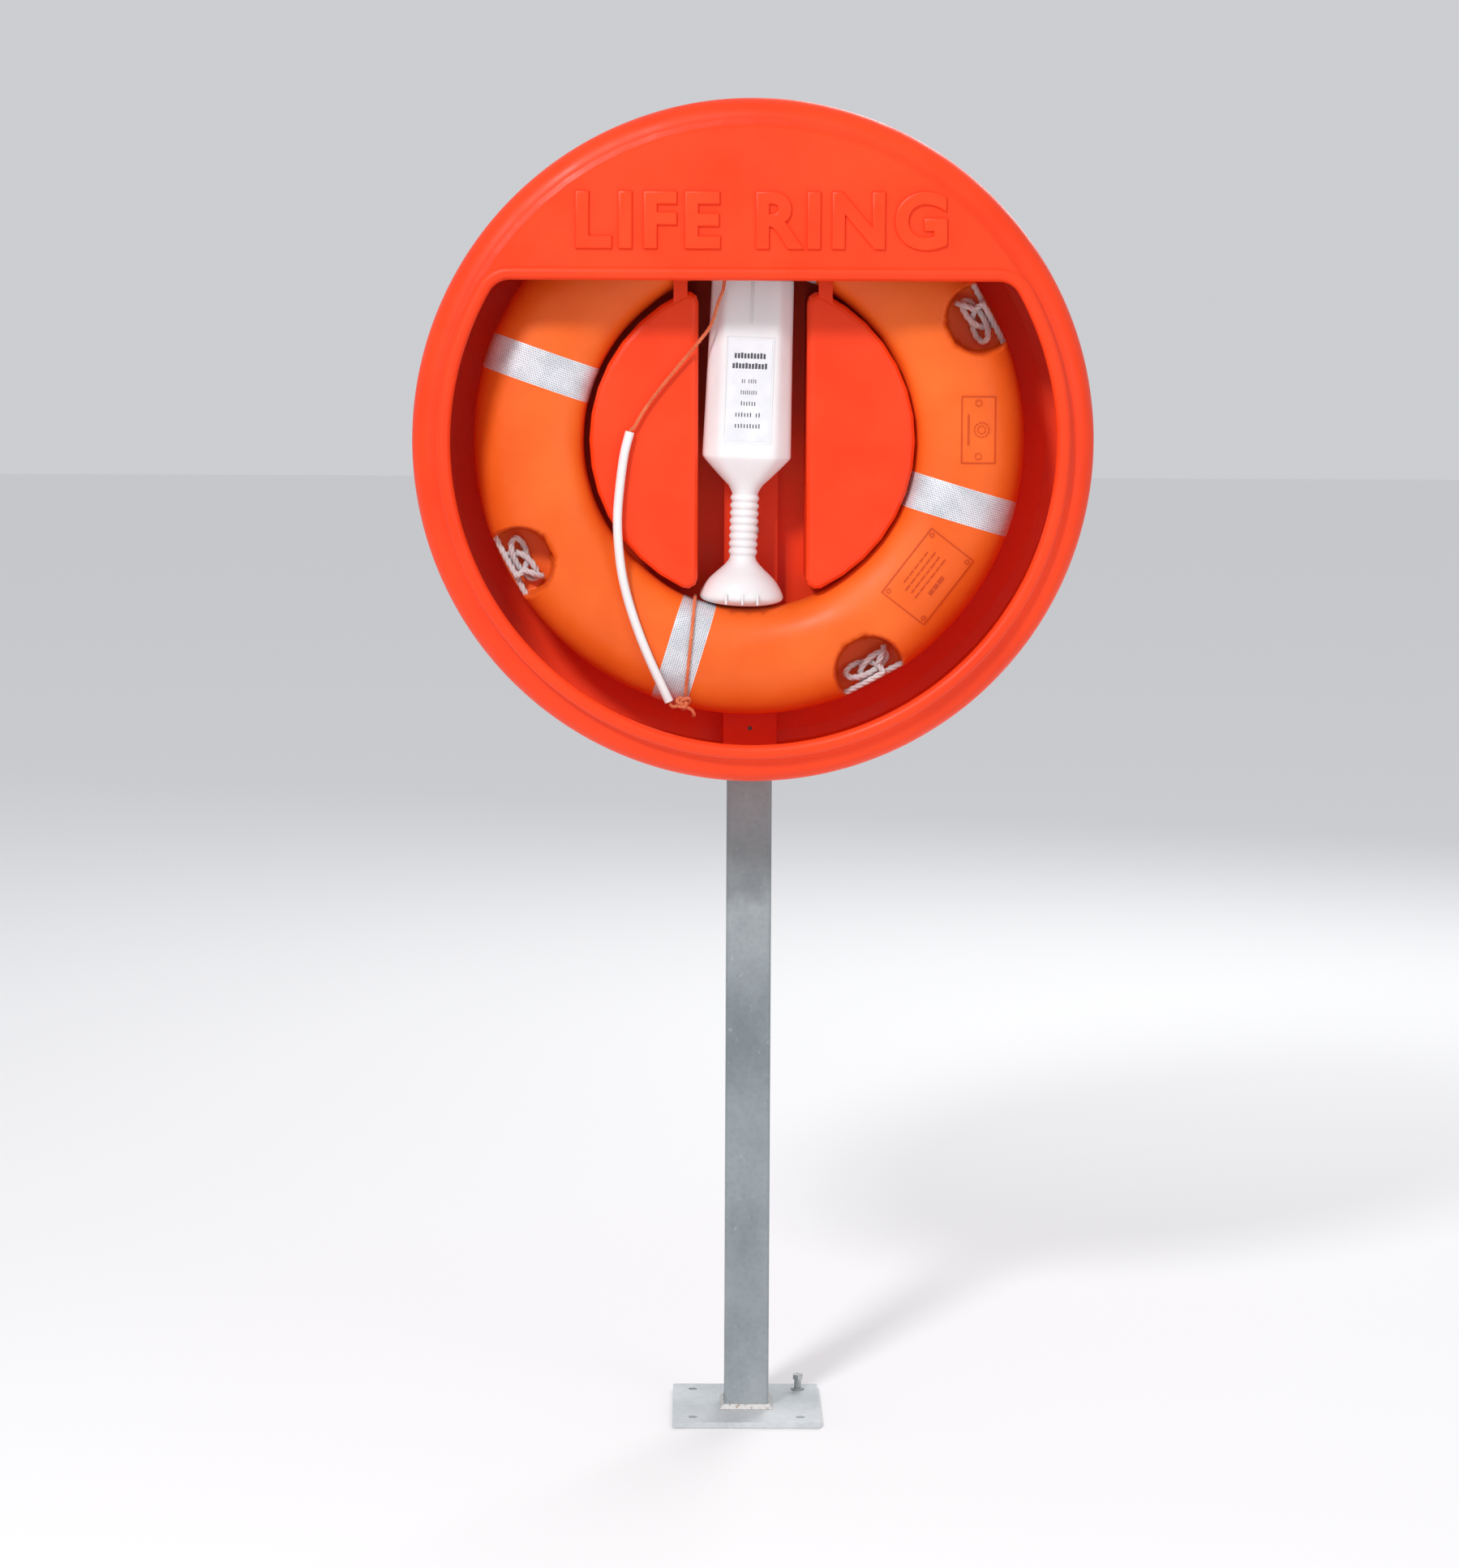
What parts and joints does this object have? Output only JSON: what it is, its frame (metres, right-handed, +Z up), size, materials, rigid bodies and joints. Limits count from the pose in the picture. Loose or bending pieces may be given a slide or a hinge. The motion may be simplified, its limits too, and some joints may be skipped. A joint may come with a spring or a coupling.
{
  "type": "lifebuoy station",
  "caption": "Ring lifebuoy in a round moulded hooded housing on a square steel post, with a rescue line bottle inside the ring.",
  "frame": {"origin": "centre of the base plate's underside", "axes": "+Z up the post, -Y out of the housing's mouth, +X to the right of someone facing it"},
  "size_m": [0.874, 0.3364, 1.761],
  "materials": {
    "galvanised_steel": "mottled hot-dip zinc",
    "zinc_plated_steel": "dull zinc plate",
    "housing_red": "satin moulded polyethylene, red-orange",
    "cap_black": "satin black",
    "ring_orange": "satin moulded polyethylene, orange",
    "foam_cream": "closed-cell foam",
    "reflective_silver": "retroreflective film",
    "rope_white": "laid white rope",
    "holder_white": "satin white",
    "label_white": null,
    "line_orange": "braided floating line"
  },
  "bodies": {
    "station": {"anchor_bolt": "zinc_plated_steel", "anchor_sleeve": "zinc_plated_steel", "anchor_washer": "zinc_plated_steel", "base_plate": "galvanised_steel", "fixing_bolt_lower": "zinc_plated_steel", "fixing_bolt_upper": "zinc_plated_steel", "fixing_nut_lower": "zinc_plated_steel", "fixing_nut_upper": "zinc_plated_steel", "fixing_washer_front_lower": "zinc_plated_steel", "fixing_washer_front_upper": "zinc_plated_steel", "fixing_washer_rear_lower": "zinc_plated_steel", "fixing_washer_rear_upper": "zinc_plated_steel", "foot_weld": "galvanised_steel", "housing": "housing_red", "post": "galvanised_steel", "post_cap": "cap_black"},
    "lifebuoy": {"ring_shell": "ring_orange", "foam_core": "foam_cream", "fill_plug": "ring_orange", "tape_left": "reflective_silver", "tape_bottom": "reflective_silver", "tape_right": "reflective_silver", "tape_top": "reflective_silver", "grab_line_upper_right": "rope_white", "grab_line_upper_left": "rope_white", "grab_line_lower_left": "rope_white", "grab_line_lower_right": "rope_white", "knot_upper_right": "rope_white", "knot_upper_left": "rope_white", "knot_lower_left": "rope_white", "knot_lower_right": "rope_white", "rescue_line": "line_orange", "line_sleeve": "holder_white", "hitch_knot": "line_orange", "hitch_loop": "line_orange"},
    "line_holder": {"line_holder_bottle": "holder_white", "line_holder_lid": "holder_white", "inspection_label": "label_white", "line_pack": "line_orange", "rescue_line_outlet": "line_orange"}
  },
  "joints": [
    {"name": "lifebuoy_tilt", "type": "hinge", "parent": "station", "child": "lifebuoy", "pos_m": [0, -0.002, 1.634], "axis": [-1, 0, 0], "range_deg": [0, 20]},
    {"name": "line_holder_swing", "type": "hinge", "parent": "lifebuoy", "child": "line_holder", "pos_m": [0, -0.088, 1.5325], "axis": [-1, 0, 0], "range_deg": [0, 8]}
  ]
}
